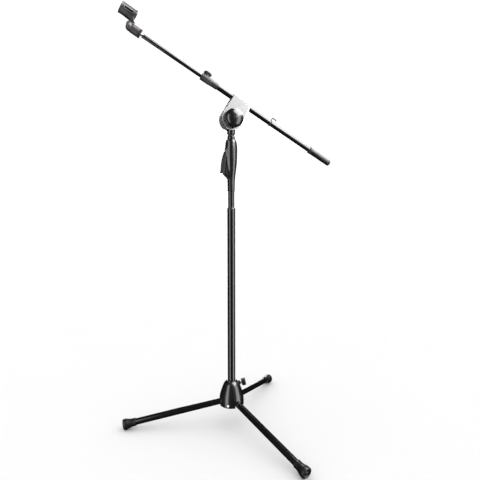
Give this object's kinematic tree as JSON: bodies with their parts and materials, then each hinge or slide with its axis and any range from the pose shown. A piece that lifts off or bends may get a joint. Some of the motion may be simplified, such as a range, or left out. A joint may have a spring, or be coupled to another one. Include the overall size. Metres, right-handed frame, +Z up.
{
  "type": "boom microphone stand",
  "caption": "Tripod floor stand with a telescoping column, squeeze-grip height release, swivelling clamp head and a telescoping boom that ends in a microphone clip.",
  "frame": {"origin": "on the floor, on the axis of the column", "axes": "+Z up along the column; the boom lies in the XZ plane with the microphone towards -X and the rear grip towards +X; the dome knob faces -Y"},
  "size_m": [0.6991, 0.608, 1.2912],
  "materials": {
    "black_steel": "satin black powder coat",
    "gloss_plastic": "black, semi-gloss moulding",
    "matte_plastic": "black, fine moulded texture",
    "clip_plastic": "dark grey-brown flexible plastic",
    "rubber": "black rubber",
    "bright_sheet": "bright nickel-plated sheet, lightly brushed",
    "chrome": "bright plated",
    "steel": "plain zinc-plated steel",
    "casting": "die-cast, as cast",
    "friction_pad": "hard rubber friction disc",
    "brass": "turned brass"
  },
  "bodies": {
    "base": {"hub_housing": "gloss_plastic", "hub_core": "casting", "hub_bottom_plug": "matte_plastic", "hub_screws": "chrome", "leg_pivot_pins": "steel", "lower_tube": "black_steel", "column_bush": "gloss_plastic"},
    "base_knob": {"base_knob": "gloss_plastic", "base_knob_stud": "chrome"},
    "leg_1": {"leg_tube_1": "black_steel", "leg_bracket_1": "matte_plastic", "foot_1": "rubber"},
    "leg_2": {"leg_tube_2": "black_steel", "leg_bracket_2": "matte_plastic", "foot_2": "rubber"},
    "leg_3": {"leg_tube_3": "black_steel", "leg_bracket_3": "matte_plastic", "foot_3": "rubber"},
    "column": {"upper_tube": "black_steel", "brake_sleeve": "matte_plastic", "spring_seat": "steel", "brake_spring": "steel", "grip_shell_front": "gloss_plastic", "grip_shell_back": "gloss_plastic", "grip_screws": "steel", "trigger_pin": "steel", "neck_collar": "black_steel", "swivel_washer": "matte_plastic", "swivel_stud": "steel"},
    "trigger": {"trigger_lever": "gloss_plastic"},
    "rod": {"pull_rod": "steel", "brake_cone": "brass", "rod_cap": "steel"},
    "head": {"swivel_head": "black_steel"},
    "clamp": {"clamp_strap": "bright_sheet", "clamp_liner": "matte_plastic", "friction_disc_front": "friction_pad", "friction_disc_back": "friction_pad", "clamp_bolt": "steel", "clamp_washer": "chrome", "back_cover": "gloss_plastic"},
    "dome_knob": {"dome_knob": "gloss_plastic", "dome_knob_insert": "brass"},
    "boom": {"outer_boom_tube": "black_steel", "boom_lock_sleeve": "gloss_plastic", "boom_end_plug": "matte_plastic", "rear_grip": "rubber", "rear_grip_ring": "matte_plastic"},
    "boom_lock": {"boom_lock_knob": "gloss_plastic", "boom_lock_screw": "chrome"},
    "inner_boom": {"inner_boom_tube": "black_steel", "inner_tube_bush": "matte_plastic", "boom_stud": "chrome"},
    "lock_nut": {"clip_lock_nut": "matte_plastic"},
    "clip_base": {"clip_base": "clip_plastic", "clip_pivot_bolt": "steel", "clip_pivot_nut": "steel"},
    "mic_clip": {"mic_clip": "clip_plastic"},
    "cable_clip": {"cable_clip": "matte_plastic"}
  },
  "joints": [
    {"name": "leg_fold_1", "type": "hinge", "parent": "base", "child": "leg_1", "pos_m": [-0.02436, 0.00562, 0.08281], "axis": [-0.225, -0.9744, 0], "range_deg": [0, 78]},
    {"name": "leg_fold_2", "type": "hinge", "parent": "base", "child": "leg_2", "pos_m": [0.00731, -0.02391, 0.08281], "axis": [0.9563, 0.2924, 0], "range_deg": [0, 78]},
    {"name": "leg_fold_3", "type": "hinge", "parent": "base", "child": "leg_3", "pos_m": [0.01705, 0.01828, 0.08281], "axis": [-0.7314, 0.682, 0], "range_deg": [0, 78]},
    {"name": "base_knob_turn", "type": "hinge", "parent": "base", "child": "base_knob", "pos_m": [0.03898, -0.009, 0.143], "axis": [0.9596, -0.2215, 0.1736], "range_deg": [0, 720]},
    {"name": "height_slide", "type": "slide", "parent": "base", "child": "column", "axis": [0, 0, 1], "range_m": [-0.045, 0.46]},
    {"name": "trigger_squeeze", "type": "hinge", "parent": "column", "child": "trigger", "pos_m": [-0.014, 0, 0.888], "axis": [0, -1, 0], "range_deg": [0, 8], "stiffness_Nm_per_rad": 1.5, "springref_deg": -5.73},
    {"name": "rod_pull", "type": "slide", "parent": "column", "child": "rod", "axis": [0, 0, 1], "range_m": [0, 0.002], "deforming": ["brake_spring"]},
    {"name": "boom_swivel", "type": "hinge", "parent": "column", "child": "head", "pos_m": [0, 0, 0.9418], "axis": [0, 0, 1], "continuous": true},
    {"name": "boom_tilt", "type": "hinge", "parent": "head", "child": "clamp", "pos_m": [0, 0, 0.9878], "axis": [0, 1, 0], "range_deg": [-114, 60]},
    {"name": "dome_knob_turn", "type": "hinge", "parent": "clamp", "child": "dome_knob", "pos_m": [0, 0, 0.9878], "axis": [0, -1, 0], "range_deg": [0, 360]},
    {"name": "boom_slide", "type": "slide", "parent": "clamp", "child": "boom", "axis": [-0.8721, 0, 0.4894], "range_m": [-0.05, 0.075]},
    {"name": "boom_lock_turn", "type": "hinge", "parent": "boom", "child": "boom_lock", "pos_m": [-0.08167, 0, 1.10381], "axis": [0.4894, 0, 0.8721], "range_deg": [0, 360]},
    {"name": "boom_extend", "type": "slide", "parent": "boom", "child": "inner_boom", "axis": [-0.8721, 0, 0.4894], "range_m": [-0.185, 0.12]},
    {"name": "lock_nut_turn", "type": "hinge", "parent": "inner_boom", "child": "lock_nut", "pos_m": [-0.26917, 0, 1.20903], "axis": [-0.8721, 0, 0.4894], "range_deg": [0, 360]},
    {"name": "clip_swivel", "type": "hinge", "parent": "inner_boom", "child": "clip_base", "pos_m": [-0.27484, 0, 1.21221], "axis": [-0.8721, 0, 0.4894], "range_deg": [-180, 180]},
    {"name": "clip_tilt", "type": "hinge", "parent": "clip_base", "child": "mic_clip", "pos_m": [-0.29917, 0, 1.22873], "axis": [0, -1, 0], "range_deg": [-10, 90]},
    {"name": "cable_clip_slide", "type": "slide", "parent": "boom", "child": "cable_clip", "axis": [0.8721, 0, -0.4894], "range_m": [0, 0.135]}
  ],
  "couplings": [
    {"joint": "rod_pull", "follows": "trigger_squeeze", "m_per_rad": 0.014}
  ]
}
